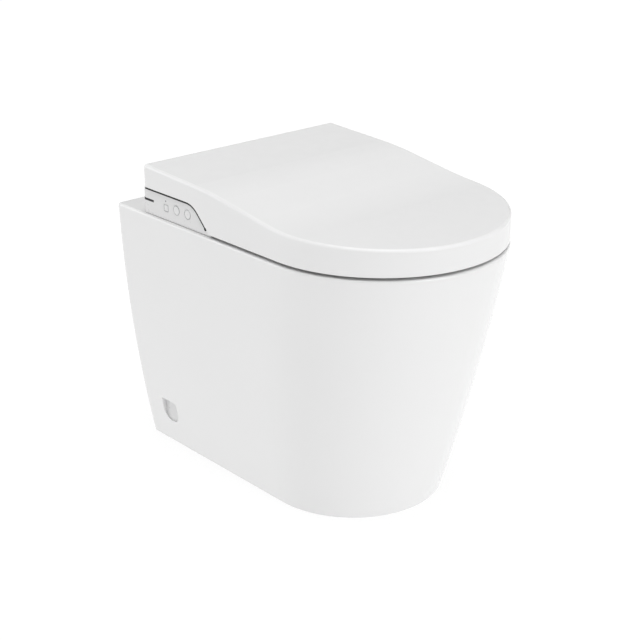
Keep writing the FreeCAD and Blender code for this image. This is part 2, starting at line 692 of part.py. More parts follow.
for tag, sg in (("right", -1), ("left", 1)):
    out, inn = S("panel_half_width"), S("panel_inner")
    b = new_body("side_panel_" + tag)
    (cy_, cz_, cr_), (fy_, fz_) = offset_line(th)
    s = sketch(b, "YZ", sg * inn)
    chain(s, [(panel_back, panel_low), (panel_back, cz_), (cy_, cz_, cr_), (fy_ - 3.0, fz_ - 3.0),
              (fy_ - 7.0, panel_low + 2.9), (fy_ - 7.0, panel_low)])
    pad(b, s, out - inn, rev=(sg < 0))

    def foot_edge(e):
        bb = e.BoundBox
        return abs(bb.ZMax - VALUE["panel_low"]) < 0.1 and bb.ZMax - bb.ZMin < 0.1 and bb.YMax - bb.YMin > 50 and min(abs(bb.XMin), abs(bb.XMax)) > 183

    def rear_edge(e):
        bb = e.BoundBox
        return bb.YMin > VALUE["panel_back"] - 0.1 and bb.ZMax - bb.ZMin > 20 and min(abs(bb.XMin), abs(bb.XMax)) > 183

    fillet(b, 2.4, foot_edge)
    fillet(b, 0.9, rear_edge)
    if sg < 0:
        for k in range(3):
            pocket(b, button_outline(sketch(b, "YZ", -inn), k, bg), 12.0, mid=True)
        s = rect(sketch(b, "YZ", -out - 1), 190.0, 220.0, 420.4, 424.0)
        pocket(b, s, 2.9, rev=True)
    node(b)

# black trim strip under the edge of the lid's side, with a round end at its foot
lw, lsk = S("lid_half_width"), S("lid_skin")
DOT = (63.6, 410.8)
for tag, sg in (("right", -1), ("left", 1)):
    b = new_body("side_trim_" + tag)
    x0 = lw - lsk + 0.02
    (uy, uz, ur), (ufy, ufz) = offset_line(th)
    (ly, lz, lr), (lfy, lfz) = offset_line(-th)
    tb_ = S("trim_back")
    s = sketch(b, "YZ", sg * x0)
    chain(s, [(tb_, lz), (tb_, uz), (uy, uz, ur), (ufy, ufz), (lfy, lfz), (ly, lz, lr)])
    pad(b, s, lw - S("trim_proud") - x0, rev=(sg < 0))

    def strip_back(e):
        bb = e.BoundBox
        return bb.YMin > VALUE["trim_back"] - 0.1 and bb.ZMax - bb.ZMin > 2 and min(abs(bb.XMin), abs(bb.XMax)) > 186

    fillet(b, 2.0, strip_back)
    pad(b, circle(sketch(b, "YZ", sg * x0), DOT[0], DOT[1], S("trim_end")), lw - S("trim_proud") - x0, rev=(sg < 0))
    node(b)

win = box("ir_window", -S("panel_half_width"), -(S("panel_half_width") - 1.85), 190.05, panel_back - 0.05, 420.45, 423.95)
node(win)

for k, name in enumerate(("wash_button", "dry_button", "stop_button")):
    b = new_body(name)
    pad(b, button_outline(sketch(b, "YZ", -S("panel_half_width")), k, 0.0), S("panel_half_width") - 178.9)

    def face_edge(e):
        bb = e.BoundBox
        return abs(bb.XMin + VALUE["panel_half_width"]) < 0.05 and bb.XMax - bb.XMin < 0.05

    fillet(b, 0.3, face_edge)
    pad(b, button_outline(sketch(b, "YZ", -178.9), k, 1.1), 0.6)
    node(b)

node(box("button_membrane", -176.9, -176.1, 102.2, 170.0, 411.0, 433.6))
node(fuse("button_board", box(t, -175.9, -174.3, 102.2, 170.0, 411.0, 433.6),
          *[box(t, -174.4, -172.3, c - 2.5, c + 2.5, bz - 3, bz + 3) for c in BUTTONS]))

# ---------------------------------------------------------------- electrics and water inside the module
node(fuse("control_board", box(t, -142.0, -98.0, 106.0, 176.0, 409.0, 410.6), box(t, -136.0, -122.0, 116.0, 130.0, 410.6, 413.0),
          box(t, -130.0, -106.0, 150.0, 168.0, 410.6, 417.0), cyl(t, "Z", -112.0, 122.0, 410.6, 5.0, 9.0)))
node(box("power_module", -141.0, -96.0, 110.0, 168.0, 424.0, 446.0))
gland = fuse(t, cyl(t, "Y", -95.0, 205.0, 418.0, 6.9, 12.0), cyl(t, "Y", -95.0, mr, 418.0, 8.5, 3.0))
node(cut("power_inlet_gland", gland, cyl(t, "Y", -95.0, 204.0, 418.0, 3.6, 20.0)))
fitting = fuse(t, cyl(t, "Y", 95.0, 200.0, 418.0, 10.4, 29.0), cyl(t, "Y", 95.0, mr, 418.0, 13.0, 4.0))
node(cut("water_inlet_fitting", fitting, cyl(t, "Y", 95.0, 198.5, 418.0, 6.0, 40.0)))
node(fuse("water_valve", box(t, 104.0, 140.0, 162.0, 198.0, 408.0, 430.0), cyl(t, "Z", 122.0, 180.0, 430.0, 2.0, 0.5),
          cyl(t, "X", 100.0, 184.0, 418.0, 5.0, 6.0)))
node(fuse("water_pump", cyl(t, "Y", 122.0, 106.0, 424.0, 14.5, 40.0), box(t, 110.0, 134.0, 110.0, 140.0, 408.0, 416.0)))
node(cyl("hose_valve_pump", "Y", 122.0, 146.0, 418.0, 4.0, 16.0))
tank = new_body("water_heater_tank")
pad(tank, chain(sketch(tank, "YZ", 40.0), [(112.0, 408.0, 5.0), (176.0, 408.0, 5.0), (176.0, 448.0, 12.0), (112.0, 448.0, 12.0)]), 52.0)
node(tank)
node(cyl("hose_pump_tank", "X", 92.0, 127.0, 424.0, 4.0, 15.5))
node(cyl("hose_tank_nozzle", "X", 9.6, 150.0, 434.0, 3.5, 30.4))

# ---------------------------------------------------------------- wash wand, guide, rack and pinion
ang = VALUE["wand_angle"]
tip = V(0, VALUE["module_front"], VALUE["wand_tip_z"])
WAND = FreeCAD.Placement(tip, FreeCAD.Rotation(V(1, 0, 0), ang))
m_, n_ = VALUE["gear_module"], int(VALUE["pinion_teeth"])
pitch = math.pi * m_
rp = m_ * n_ / 2.0
px = VALUE["pinion_place"]
ww = S("wand_half_width")
rod = new_body("wand_rod")
pad(rod, rect(sketch(rod, "YZ", 0.0), -5.0, S("wand_length"), -6.0, 4.0), ww * 2, mid=True)
add, ded, thick = 0.6, 0.9, pitch / 2 - 0.1
tan20 = math.tan(math.radians(20))
first = px - 1 * pitch
tooth = sketch(rod, "YZ", 0.0)
zp = 4.0 + ded
chain(tooth, [(first - thick / 2 - ded * tan20 - 0.001, 3.9), (first + thick / 2 + ded * tan20 + 0.001, 3.9),
              (first + thick / 2 - add * tan20, zp + add), (first - thick / 2 + add * tan20, zp + add)])
f = pad(rod, tooth, 5.0, mid=True)
rack = rod.newObject("PartDesign::LinearPattern", "rack_teeth")
rack.Originals = [f]
rack.Direction = ([o for o in rod.Origin.OriginFeatures if o.Role == "Y_Axis"][0], [""])
count = 28
rack.Length = pitch * (count - 1)
rack.Occurrences = count
rod.Tip = rack
doc.recompute()
s = sketch(rod, "XY", 6.5)
for u in (-2.5, 2.5):
    circle(s, u, 7.0, 0.7)
pocket(rod, s, 6.0)
s = circle(sketch(rod, "XZ", VALUE["wand_length"]), 0.0, -1.5, 2.4)      # water passage
pocket(rod, s, 75.0, rev=True)
rod.Placement = WAND
doc.recompute()
wand = cut("nozzle_wand", rod, box(t, -20.0, 20.0, 60.0, 98.6, 380.0, 440.0))
node(wand)
node(box("nozzle_guard", -13.0, 13.0, 96.6, 98.6, 403.4, 419.6))

chan = new_body("wand_channel")
pad(chan, chain(sketch(chan, "XZ", 3.0), [(-9.6, -8.4), (9.6, -8.4), (9.6, 6.3), (7.35, 6.3), (7.35, -6.35), (-7.35, -6.35), (-7.35, 6.3), (-9.6, 6.3)]),
    72.0, rev=True)
chan.Placement = WAND
legs = [box(t, -6.0, 6.0, 106.0, 112.0, floor_top, 408.0), box(t, -6.0, 6.0, 148.0, 152.0, floor_top, 428.2)]
node(cut("nozzle_housing", fuse(t, chan, *legs), box(t, -20.0, 20.0, 60.0, 101.9, 380.0, 440.0)))

gear = new_body("nozzle_pinion")
tipr = rp + 0.7
pad(gear, circle(sketch(gear, "YZ", -3.0), 0.0, 0.0, tipr), 6.0)
rb = rp * math.cos(math.radians(20))


def inv(r):
    a = math.acos(min(1.0, rb / r))
    return math.tan(a) - a


half_tooth = (pitch / 2 - 0.1) / (2 * rp)
left_side, right_side = [], []
for r in (rp - 1.05, rb - 0.05, rb + 0.12, rp, rp + 0.25, rp + 0.5, rp + 0.95):
    rr = max(r, rb)
    g_half = math.pi / n_ - (half_tooth + inv(rp) - inv(rr))
    a0, a1 = -math.pi / 2 - g_half, -math.pi / 2 + g_half
    left_side.append((r * math.cos(a0), r * math.sin(a0)))
    right_side.append((r * math.cos(a1), r * math.sin(a1)))
gap = chain(sketch(gear, "YZ", -3.0), left_side[::-1] + right_side)
f = pocket(gear, gap, 14.0, mid=True)
teeth = gear.newObject("PartDesign::PolarPattern", "pinion_gaps")
teeth.Originals = [f]
teeth.Axis = ([o for o in gear.Origin.OriginFeatures if o.Role == "X_Axis"][0], [""])
teeth.Angle = 360.0
teeth.Occurrences = n_
gear.Tip = teeth
doc.recompute()
pad(gear, circle(sketch(gear, "YZ", -5.0), 0.0, 0.0, 1.5), 17.5)
PIN = WAND.multVec(V(0, px, zp + rp))
gear.Placement = FreeCAD.Placement(PIN, FreeCAD.Rotation(V(1, 0, 0), ang))
node(gear)
motor = cut(t, cyl(t, "X", 10.4, PIN.y, PIN.z, 8.0, 15.0), cyl(t, "X", 9.0, PIN.y, PIN.z, 1.55, 5.0))
node(fuse("nozzle_motor", motor, box(t, 13.0, 22.0, PIN.y - 4.0, PIN.y + 4.0, floor_top, PIN.z - 6.5)))

# ---------------------------------------------------------------- warm-air dryer
fy, fz, fr = S("fan_y"), S("fan_z"), S("fan_radius")
hous = new_body("dryer_scroll")
pad(hous, circle(sketch(hous, "YZ", -72.0), fy, fz, 26.0), 38.0)
pad(hous, chain(sketch(hous, "YZ", -58.0), [(102.0, 406.2), (150.0, 408.0), (150.0, 428.0), (126.0, 422.0), (102.0, 420.6)]), 24.0)
pocket(hous, circle(sketch(hous, "YZ", -70.5), fy, fz, 24.5), 35.0, rev=True)
pocket(hous, chain(sketch(hous, "YZ", -56.5), [(101.0, 407.6), (146.0, 409.6), (146.0, 424.0), (127.0, 420.4), (101.0, 419.2)]), 21.0, rev=True)
pocket(hous, circle(sketch(hous, "YZ", -73.0), fy, fz, 4.5), 3.0, rev=True)
pocket(hous, circle(sketch(hous, "YZ", -33.0), fy, fz, 12.0), 3.0)
hous.Label = "dryer_housing"
node(hous)
wheel = new_body("dryer_wheel")
pad(wheel, circle(sketch(wheel, "YZ", -69.0), 0.0, 0.0, fr), 1.6)
pad(wheel, circle(sketch(wheel, "YZ", -69.0), 0.0, 0.0, 5.0), 9.0)
pad(wheel, circle(sketch(wheel, "YZ", -84.0), 0.0, 0.0, 2.0), 20.0)
s = chain(sketch(wheel, "YZ", -68.0), [(-0.7, fr - 5.5), (0.7, fr - 5.5), (1.6, fr - 0.6), (0.2, fr - 0.6)])
blade = pad(wheel, s, 30.0)
fan = wheel.newObject("PartDesign::PolarPattern", "blades")
fan.Originals = [blade]
fan.Axis = ([o for o in wheel.Origin.OriginFeatures if o.Role == "X_Axis"][0], [""])
fan.Angle = 360.0
fan.Occurrences = int(VALUE["fan_blades"])
fan.setExpression("Occurrences", "Sheet.fan_blades")
wheel.Tip = fan
wheel.Placement = FreeCAD.Placement(V(0, num(fy), num(fz)), FreeCAD.Rotation())
wheel.setExpression("Placement.Base.y", fy.text)
wheel.setExpression("Placement.Base.z", fz.text)
doc.recompute()
node(wheel)
node(cut("dryer_motor", cyl(t, "X", -94.0, fy, fz, 13.0, 21.8), cyl(t, "X", -85.0, fy, fz, 2.05, 14.0)))
node(group("dryer_heater", *[box(t, -55.5, -36.5, 108.0 + 5 * k, 109.2 + 5 * k, 409.0, 418.0) for k in range(4)]))
flap = new_body("dryer_flap")
pad(flap, rect(sketch(flap, "YZ", -55.6), 99.2, 100.6, 406.5, 417.2), 29.2)
pad(flap, circle(sketch(flap, "YZ", -55.6), 100.2, 417.9, 1.35), 29.2)
pocket(flap, circle(sketch(flap, "YZ", -57.0), 100.2, 417.9, 0.8), 33.0, rev=True)
node(flap)
node(cyl("dryer_flap_pin", "X", -57.4, 100.2, 417.9, 0.75, 32.7))

# ---------------------------------------------------------------- soft-close dampers and hinge shafts
sr, rg = S("shaft_radius"), S("running_gap")
node(cut("lid_damper", cyl(t, "X", -142.0, hy, hz, 9.2, 56.0), cyl(t, "X", -143.0, hy, hz, sr + rg, 22.0)))
node(cyl("lid_damper_shaft", "X", -171.0, hy, hz, sr, 48.0))
node(cut("seat_damper", cyl(t, "X", 86.0, hy, hz, 9.2, 56.0), cyl(t, "X", 121.0, hy, hz, sr + rg, 22.0)))
node(cyl("seat_damper_shaft", "X", 123.0, hy, hz, sr, 48.0))

# ---------------------------------------------------------------- seat
shw, sf, sb = S("seat_half_width"), S("seat_front"), S("seat_back")
sl, sh_ = S("seat_low"), S("seat_top")
ow, ol, oc = S("seat_hole_half_width"), S("seat_hole_half_length"), S("seat_hole_centre")
ss = S("seat_skin")
nh, nt = S("notch_half_width"), S("notch_top")


def ring(b, z, inset, back_inset=None):
    s = sketch(b, "XY", z)
    bi = inset if back_inset is None else back_inset
    dee(s, shw - inset, sf + inset, sb - bi)
    ellipse(s, 0.0, oc, ow + inset, ol + inset)
    return s


top = new_body("seat_ring_top")
pad(top, ring(top, sl, 0.0), sh_ - sl)


def seat_edge(e):
    bb = e.BoundBox
    return bb.ZMax - bb.ZMin < 0.3 and abs(bb.ZMax - VALUE["seat_top"]) < 0.2


fillet(top, S("seat_round"), seat_edge)
pocket(top, ring(top, sl, ss), sh_ - ss - sl, rev=True)
s = rect(sketch(top, "XY", sl), -nh, nh, 30.0, 100.0)
pocket(top, s, nt - sl, rev=True)
arm = [(62.0, 425.5), (sb - 0.1, 425.5), (sb - 0.1, 440.5, 4.0), (hy, hz - 9.4), (hy, hz + 9.4), (82.0, 447.0, 14.0)]
for x0 in (148.0, -158.0):
    pad(top, chain(sketch(top, "YZ", x0), arm), 10.0)
    pad(top, circle(sketch(top, "YZ", x0), hy, hz, 9.5), 10.0)
pocket(top, circle(sketch(top, "YZ", 147.0), hy, hz, sr), 12.0, rev=True)
pocket(top, circle(sketch(top, "YZ", -159.0), hy, hz, sr + rg), 12.0, rev=True)
node(top)

low = new_body("seat_low_ring")
pad(low, ring(low, sl + 0.3, ss + 0.3), 3.0)
raised = new_body("seat_low_step")
pad(raised, ring(raised, sl + 0.3, ss + 0.3), nt + 3.0 - sl - 0.3)
step = cut(t, common(t, raised, box(t, -nh - 2.5, nh + 2.5, 40.0, 100.0, 400.0, 430.0)),
           box(t, -nh, nh, 30.0, 110.0, 400.0, nt))
node(cut("seat_ring_bottom", fuse(t, low, step), box(t, -nh, nh, 30.0, 110.0, 400.0, nt)))
foil = new_body("seat_heater_foil")
pad(foil, ring(foil, sh_ - ss - 0.7, 9.0, 9.0), 0.6)
node(foil)
node(box("seat_sensor", 122.0, 158.0, -110.0, -50.0, 421.0, 424.0))
pads = [(160.0, 36.0), (-160.0, 36.0), (78.0, -238.0), (-78.0, -238.0)]
node(group("seat_buffers", *[cyl(t, "Z", x, y, 400.15, 8.0, 4.15) for x, y in pads]))

# ---------------------------------------------------------------- lid
lf, lb, lo = S("lid_front"), S("lid_back"), S("lid_low")
rear_z, by_, bz_ = S("lid_rear_height"), S("lid_break_rear_y"), S("lid_break_rear_z")
cy2, cz2, fz2, lr2 = S("lid_break_front_y"), S("lid_break_front_z"), S("lid_front_height"), S("lid_bend")
(ey, ez, er), (efy, efz) = offset_line(th)
foot_y = efy - (efz - lo)


def trim_plan(b, half, front, rear):
    """Cuts the body to the lid's plan outline."""
    s = sketch(b, "XY", 350.0)
    rect(s, -260.0, 260.0, -360.0, 300.0)
    dee(s, half, front, rear)
    return pocket(b, s, None, rev=True)


lid_out = new_body("lid_outside")
pad(lid_out, chain(sketch(lid_out, "YZ", 0.0),
                   [(lb + 5, ez), (lb + 5, rear_z + (rear_z - bz_) / (lb - by_) * 5.0), (by_, bz_, lr2), (cy2, cz2, lr2),
                    (lf - 5, fz2 - (cz2 - fz2) / (cy2 - lf) * 5.0), (lf - 5, lo), (foot_y, lo), (ey, ez, er)]),
    lw * 2 + 10, mid=True)
trim_plan(lid_out, lw, lf, lb)


def lid_top_edge(e):
    m = e.valueAt((e.FirstParameter + e.LastParameter) / 2)
    ends_ = [e.valueAt(e.FirstParameter), e.valueAt(e.LastParameter), m]
    return min(p.z for p in ends_) > 438 and min(p.z for p in ends_) > lid_z(m.y) - 6 and not (
        max(p.z for p in ends_) - min(p.z for p in ends_) > 25) and on_plan(m)


def lid_z(y):
    if y > VALUE["lid_break_rear_y"]:
        a, b_ = (VALUE["lid_break_rear_y"], VALUE["lid_break_rear_z"]), (VALUE["lid_back"], VALUE["lid_rear_height"])
    elif y > VALUE["lid_break_front_y"]:
        a, b_ = (VALUE["lid_break_front_y"], VALUE["lid_break_front_z"]), (VALUE["lid_break_rear_y"], VALUE["lid_break_rear_z"])
    else:
        a, b_ = (VALUE["lid_front"], VALUE["lid_front_height"]), (VALUE["lid_break_front_y"], VALUE["lid_break_front_z"])
    return a[1] + (b_[1] - a[1]) * (y - a[0]) / (b_[0] - a[0])


def on_plan(p):
    yc = VALUE["lid_front"] + VALUE["lid_half_width"]
    if p.y > VALUE["lid_back"] - VALUE["lid_corner"] - 0.2:
        return True
    if p.y >= yc - 0.1:
        return abs(abs(p.x) - VALUE["lid_half_width"]) < 0.2
    return abs(math.hypot(p.x, p.y - yc) - VALUE["lid_half_width"]) < 0.2


def lid_rear_corner(e):
    bb = e.BoundBox
    return bb.YMin > VALUE["lid_back"] - 0.3 and bb.ZMax - bb.ZMin > 20 and bb.XMax - bb.XMin < 0.5


fillet(lid_out, S("lid_corner"), lid_rear_corner)
fillet(lid_out, S("lid_edge_round"), lid_top_edge)
lid_in = new_body("lid_inside")
wl = S("lid_wall_low")
pad(lid_in, chain(sketch(lid_in, "YZ", 0.0),
                  [(lb + 5, 396.0), (lb + 5, wl), (lb - lsk, wl), (lb - lsk, rear_z - lsk - 0.14), (by_, bz_ - lsk, lr2 - lsk),
                   (cy2, cz2 - lsk, lr2 + lsk), (lf - 5, fz2 - lsk - (cz2 - fz2) / (cy2 - lf) * 5.0), (lf - 5, 396.0)]),
    lw * 2 + 10, mid=True)
trim_plan(lid_in, lw - lsk, lf + lsk, lb + 5)
shell_ = cut(t, lid_out, lid_in, *[cyl(t, "X", x0, DOT[0], DOT[1], S("trim_end") + 0.02, 6.0) for x0 in (-188.0, 182.0)])
hubs = []
for sg in (-1, 1):
    x0 = 160.0 if sg > 0 else -170.0
    bore = sr + rg if sg > 0 else sr
    hubs.append(cut(t, fuse(t, cyl(t, "X", x0, hy, hz, 9.0, 10.0), box(t, x0, x0 + 10.0, 189.0, 203.0, 459.0, 473.2)),
                    cyl(t, "X", x0 - 1, hy, hz, bore, 12.0)))
node(fuse("lid_shell", shell_, *hubs))

liner_out = new_body("lid_liner")
pad(liner_out, chain(sketch(liner_out, "YZ", 0.0),
                     [(86.0, bz_ - 8.2 + 1.4), (by_, bz_ - 8.2, lr2), (cy2, cz2 - 8.2, lr2), (lf - 5, fz2 - 8.2 - 0.14),
                      (lf - 5, fz2 - 10.2 - 0.14), (cy2, cz2 - 10.2, lr2), (by_, bz_ - 10.2, lr2), (86.0, bz_ - 10.2 + 1.4)]),
    lw * 2 + 10, mid=True)
trim_plan(liner_out, lw - lsk - 0.0, lf + lsk, 86.0)
node(liner_out)
lid_pads = [(140.0, -60.0), (-140.0, -60.0), (72.0, -225.0), (-72.0, -225.0)]


def under_liner(y):
    return lid_z(y) - 10.2


node(group("lid_buffers", *[cut(t, cyl(t, "Z", x, y, 428.4, 6.0, under_liner(y) - 428.4 + 0.6), liner_out) for x, y in lid_pads]))

# ---------------------------------------------------------------- checks and files
doc.recompute()
bad = []
for o in doc.Objects:
    if any(x in ("Invalid", "Error") for x in o.State):
        bad.append("%s (%s) %s" % (o.Name, o.Label, o.State))
    if o.TypeId == "Sketcher::SketchObject" and not o.FullyConstrained:
        print("free sketch", o.Name, o.getParentGeoFeatureGroup().Label if o.getParentGeoFeatureGroup() else "")
seen = set()
for o in nodes:
    sh = o.Shape
    if o.Label in seen:
        bad.append("two nodes named " + o.Label)
    seen.add(o.Label)
    if sh.isNull() or not sh.isValid() or sh.Volume <= 0:
        bad.append("%s has no valid shape" % o.Label)
if bad:
    raise RuntimeError("; ".join(bad))
if len(nodes) > 60:
    raise RuntimeError("too many nodes: %d" % len(nodes))
os.makedirs("parts", exist_ok=True)
for old in os.listdir("parts"):
    if old.endswith(".step") and old[:-5] not in seen:
        os.remove(os.path.join("parts", old))
for o in nodes:
    o.Shape.exportStep(os.path.join("parts", o.Label + ".step"))
    bb = o.Shape.BoundBox
    print("%-22s solids %d  x %7.1f %7.1f  y %7.1f %7.1f  z %6.1f %6.1f  vol %9.1f cm3" % (
        o.Label, len(o.Shape.Solids), bb.XMin, bb.XMax, bb.YMin, bb.YMax, bb.ZMin, bb.ZMax, o.Shape.Volume / 1000))
print(len(nodes), "nodes")
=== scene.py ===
import math

import bpy
import bmesh
from mathutils import Matrix, Vector


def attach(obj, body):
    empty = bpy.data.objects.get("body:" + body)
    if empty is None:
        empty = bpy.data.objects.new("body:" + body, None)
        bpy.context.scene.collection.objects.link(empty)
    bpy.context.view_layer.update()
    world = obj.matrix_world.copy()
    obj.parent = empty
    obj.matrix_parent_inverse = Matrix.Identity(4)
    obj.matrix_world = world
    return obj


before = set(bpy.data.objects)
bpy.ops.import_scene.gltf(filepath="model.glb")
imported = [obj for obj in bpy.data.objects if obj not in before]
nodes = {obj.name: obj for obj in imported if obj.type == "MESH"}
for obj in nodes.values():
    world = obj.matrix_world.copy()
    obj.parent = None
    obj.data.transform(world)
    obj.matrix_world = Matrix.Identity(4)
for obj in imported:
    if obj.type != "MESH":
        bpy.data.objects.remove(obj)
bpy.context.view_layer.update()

# Back-to-wall toilet with a heated seat: ceramic pan, module with side buttons, seat ring and lid.
# Metres. -Y is the front, +Y the wall side, the buttons are on the -X side.
scene = bpy.context.scene
scene.view_settings.view_transform = "Standard"
scene.view_settings.look = "None"
ROOT = "pan_and_module"
THREAD_ROOT, SEAL_R = 10.35, 22.5    # mm

# ---------------------------------------------------------------- camera
cam_data = bpy.data.cameras.new("camera")
cam = bpy.data.objects.new("camera", cam_data)
scene.collection.objects.link(cam)
cam_data.sensor_width = 36.0
cam_data.lens = 36.0 * 1400.21 / 640.0
cam_data.clip_start, cam_data.clip_end = 0.05, 200.0
back = Vector((-0.61788, -0.68922, 0.37843)).normalized()
cam.location = (-1.31923, -1.44305, 1.04061)
cam.rotation_mode = "QUATERNION"
cam.rotation_quaternion = (-back).to_track_quat("-Z", "Y")
scene.camera = cam


# ---------------------------------------------------------------- material helpers
class Net:
    """A material's node tree, with short calls for the nodes used here."""

    def __init__(self, name):
        self.mat = bpy.data.materials.new(name)
        self.mat.use_nodes = True
        self.t = self.mat.node_tree
        self.t.nodes.clear()
        self.out = self.t.nodes.new("ShaderNodeOutputMaterial")
        self.p = self.t.nodes.new("ShaderNodeBsdfPrincipled")
        self.t.links.new(self.p.outputs[0], self.out.inputs[0])
        self.coord = self.t.nodes.new("ShaderNodeTexCoord").outputs["Object"]
        self.bumped = None

    def link(self, a, b):
        self.t.links.new(a, b)

    def scaled(self, sx, sy, sz):
        m = self.t.nodes.new("ShaderNodeMapping")
        m.inputs["Scale"].default_value = (sx, sy, sz)
        self.link(self.coord, m.inputs["Vector"])
        return m.outputs[0]

    def noise(self, scale, detail=2.0, rough=0.5, vec=None, distortion=0.0):
        n = self.t.nodes.new("ShaderNodeTexNoise")
        n.inputs["Scale"].default_value = scale
        n.inputs["Detail"].default_value = detail
        n.inputs["Roughness"].default_value = rough
        n.inputs["Distortion"].default_value = distortion
        self.link(vec or self.coord, n.inputs["Vector"])
        return n.outputs[0]

    def voronoi(self, scale, feature="F1", vec=None):
        n = self.t.nodes.new("ShaderNodeTexVoronoi")
        n.feature = feature
        n.inputs["Scale"].default_value = scale
        self.link(vec or self.coord, n.inputs["Vector"])
        return n.outputs["Distance"]

    def remap(self, value, lo, hi, a=0.0, b=1.0):
        m = self.t.nodes.new("ShaderNodeMapRange")
        m.interpolation_type = "SMOOTHSTEP"
        m.inputs["From Min"].default_value = a
        m.inputs["From Max"].default_value = b
        m.inputs["To Min"].default_value = lo
        m.inputs["To Max"].default_value = hi
        self.link(value, m.inputs["Value"])
        return m.outputs[0]

    def math(self, op, a, b=None):
        m = self.t.nodes.new("ShaderNodeMath")
        m.operation = op
        for i, v in enumerate((a, b)):
            if v is None:
                continue
            if isinstance(v, (int, float)):
                m.inputs[i].default_value = v
            else:
                self.link(v, m.inputs[i])
        return m.outputs[0]

    def mix(self, fac, a, b):
        m = self.t.nodes.new("ShaderNodeMix")
        m.data_type = "RGBA"
        self.link(fac, m.inputs[0])
        for sock, v in ((m.inputs[6], a), (m.inputs[7], b)):
            if isinstance(v, tuple):
                sock.default_value = (*v, 1.0)
            else:
                self.link(v, sock)
        return m.outputs[2]

    def color(self, v):
        self.link(v, self.p.inputs["Base Color"])

    def rough(self, v):
        self.link(v, self.p.inputs["Roughness"])

    def bump(self, height, distance, strength=1.0):
        b = self.t.nodes.new("ShaderNodeBump")
        b.inputs["Strength"].default_value = strength
        b.inputs["Distance"].default_value = distance
        self.link(height, b.inputs["Height"])
        if self.bumped is not None:
            self.link(self.bumped, b.inputs["Normal"])
        self.bumped = b.outputs[0]
        self.link(self.bumped, self.p.inputs["Normal"])

    def set(self, **values):
        names = {"metallic": "Metallic", "coat": "Coat Weight", "coat_rough": "Coat Roughness", "ior": "IOR",
                 "spec": "Specular IOR Level", "aniso": "Anisotropic", "sss": "Subsurface Weight", "sss_scale": "Subsurface Scale",
                 "trans": "Transmission Weight", "alpha": "Alpha", "coat_ior": "Coat IOR"}
        for k, v in values.items():
            self.p.inputs[names[k]].default_value = v
        return self


def shade(v, k):
    return tuple(max(0.0, min(1.0, c * k)) for c in v)


def glaze(name, base, rough=0.12):
    """Vitreous china under a clear glaze: faint pooling of the glaze, fine orange peel."""
    n = Net(name)
    cloud = n.noise(5.5, 4.0, 0.55)
    fine = n.noise(60.0, 2.0)
    n.color(n.mix(n.remap(cloud, 0.0, 1.0, 0.15, 0.85), shade(base, 0.992), shade(base, 1.006)))
    n.rough(n.remap(fine, rough * 0.8, rough * 1.25, 0.15, 0.85))
    n.bump(n.noise(7.0, 0.0), 0.0006, 0.25)
    n.bump(n.noise(240.0, 2.0), 0.00004, 0.5)
    n.set(coat=0.4, coat_rough=0.03, ior=1.5)
    return n


def moulded(name, base, rough=0.25, grain=900.0, depth=0.00002, coat=0.0):
    """Moulded plastic: faint flow marks in the colour, fine grain in the surface."""
    n = Net(name)
    flow = n.noise(7.0, 3.0, 0.5, n.scaled(1.0, 0.45, 1.0))
    n.color(n.mix(n.remap(flow, 0.0, 1.0, 0.15, 0.85), shade(base, 0.99), shade(base, 1.006)))
    n.rough(n.remap(n.noise(45.0, 3.0), rough * 0.85, rough * 1.2, 0.15, 0.85))
    n.bump(n.noise(8.0, 0.0), 0.0004, 0.15)
    n.bump(n.noise(grain, 2.0), depth, 0.6)
    n.set(coat=coat, coat_rough=0.06, ior=1.48)
    return n


def rubbery(name, base, rough=0.55):
    n = Net(name)
    n.color(n.mix(n.remap(n.noise(80.0, 4.0), 0.0, 1.0, 0.15, 0.85), shade(base, 0.8), shade(base, 1.2)))
    n.rough(n.remap(n.noise(200.0, 3.0), rough * 0.85, min(1.0, rough * 1.25), 0.15, 0.85))
    n.bump(n.noise(1200.0, 2.0), 0.00003, 0.7)
    return n


def steely(name, base, rough=0.28, stretch=(1.0, 1.0, 14.0), metal=1.0):
    """Brushed or plated metal: streaks along one direction, small stains."""
    n = Net(name)
    streak = n.noise(260.0, 3.0, 0.6, n.scaled(*stretch))
    stain = n.noise(26.0, 4.0)
    n.color(n.mix(n.remap(stain, 0.0, 1.0, 0.15, 0.85), shade(base, 0.86), shade(base, 1.08)))
    n.rough(n.remap(streak, rough * 0.75, rough * 1.35, 0.15, 0.85))
    n.bump(streak, 0.00002, 0.6)
    n.set(metallic=metal)
    return n


WHITE = (0.862, 0.862, 0.862)
MAT = {}
g = glaze("vitreous_china", WHITE)
MAT["ceramic"] = g.mat
MAT["lid_white"] = moulded("lid_gloss_white", WHITE, 0.22, 1400.0, 0.000005, coat=0.25).mat
MAT["seat_white"] = moulded("seat_gloss_white", (0.90, 0.90, 0.898), 0.2, 1400.0, 0.000005, coat=0.3).mat
MAT["shell_white"] = moulded("module_gloss_white", (0.85, 0.85, 0.85), 0.24, 1400.0, 0.000005, coat=0.2).mat
MAT["panel_white"] = moulded("panel_white", (0.785, 0.785, 0.785), 0.3, 1400.0, 0.000004).mat
MAT["button_white"] = moulded("button_white", (0.815, 0.815, 0.815), 0.28, 1400.0, 0.000004, coat=0.2).mat
MAT["inner_white"] = moulded("inner_white", (0.72, 0.72, 0.715), 0.42, 600.0, 0.00004).mat
MAT["trim_black"] = moulded("trim_black", (0.008, 0.008, 0.009), 0.5).set(spec=0.12).mat
MAT["window"] = moulded("infrared_window", (0.012, 0.011, 0.014), 0.3).set(spec=0.25).mat
MAT["grey_plastic"] = moulded("grey_plastic", (0.23, 0.24, 0.25), 0.42, 700.0, 0.00004).mat
MAT["black_plastic"] = moulded("black_plastic", (0.03, 0.03, 0.032), 0.4, 700.0, 0.00004).mat
